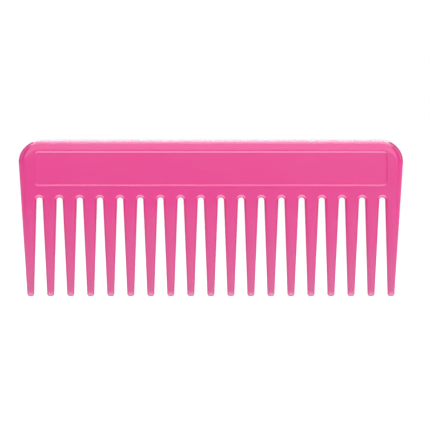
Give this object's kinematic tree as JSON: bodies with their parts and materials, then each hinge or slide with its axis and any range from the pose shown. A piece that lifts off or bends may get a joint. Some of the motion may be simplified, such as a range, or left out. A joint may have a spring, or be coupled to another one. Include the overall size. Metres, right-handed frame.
{
  "type": "wide tooth comb",
  "caption": "Wide tooth hair comb: a flat spine with a shallow recessed panel on each face and a row of long, tapered, round-tipped teeth.",
  "frame": {"origin": "middle of the row of tooth tips, at mid thickness, level with the lowest points of the teeth", "axes": "+X along the spine, +Y from the front face to the back face, +Z from the tooth tips up to the top edge of the spine"},
  "size_m": [0.172, 0.005, 0.07],
  "materials": {
    "comb_plastic": "glossy pink moulded plastic"
  },
  "bodies": {
    "root": {"spine": "comb_plastic", "tooth_01": "comb_plastic", "tooth_02": "comb_plastic", "tooth_03": "comb_plastic", "tooth_04": "comb_plastic", "tooth_05": "comb_plastic", "tooth_06": "comb_plastic", "tooth_07": "comb_plastic", "tooth_08": "comb_plastic", "tooth_09": "comb_plastic", "tooth_10": "comb_plastic", "tooth_11": "comb_plastic", "tooth_12": "comb_plastic", "tooth_13": "comb_plastic", "tooth_14": "comb_plastic", "tooth_15": "comb_plastic", "tooth_16": "comb_plastic", "tooth_17": "comb_plastic", "tooth_18": "comb_plastic", "tooth_19": "comb_plastic"}
  },
  "joints": []
}
